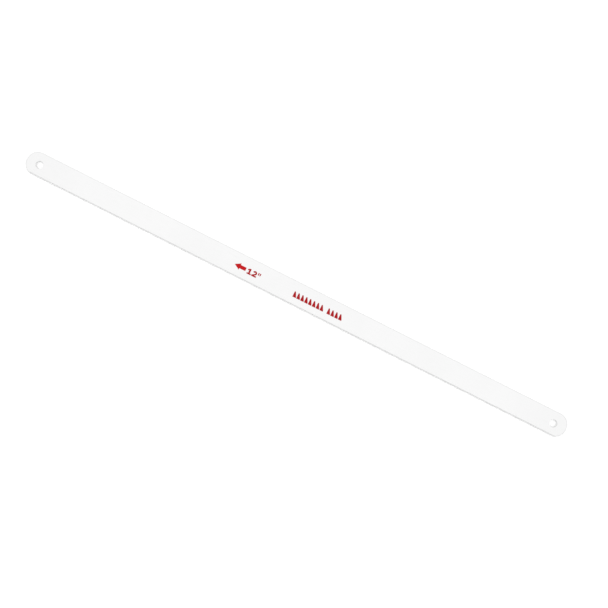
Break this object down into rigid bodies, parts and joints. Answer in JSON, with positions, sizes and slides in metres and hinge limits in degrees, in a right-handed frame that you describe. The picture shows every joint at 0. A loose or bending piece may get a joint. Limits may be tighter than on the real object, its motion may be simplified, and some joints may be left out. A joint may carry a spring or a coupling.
{
  "type": "hacksaw blade",
  "caption": "Flat steel hacksaw blade with a waved row of fine teeth along one edge, round ends and a pin hole near each end, white with red print.",
  "frame": {"origin": "midway between the two pin holes and midway across the blade, level with the lowest point of the tooth set", "axes": "+X along the blade, away from the direction in which the teeth cut; +Y across it, from the teeth to the plain back; +Z out of the printed face"},
  "size_m": [0.3148, 0.0126, 0.001],
  "materials": {
    "enamelled_steel": "thin white enamel on hardened steel, satin, worn off the tooth tips and thin at the edges",
    "red_print": "thin flat red ink, printed on one face of the enamel"
  },
  "bodies": {
    "root": {"blade": "enamelled_steel"}
  },
  "joints": []
}
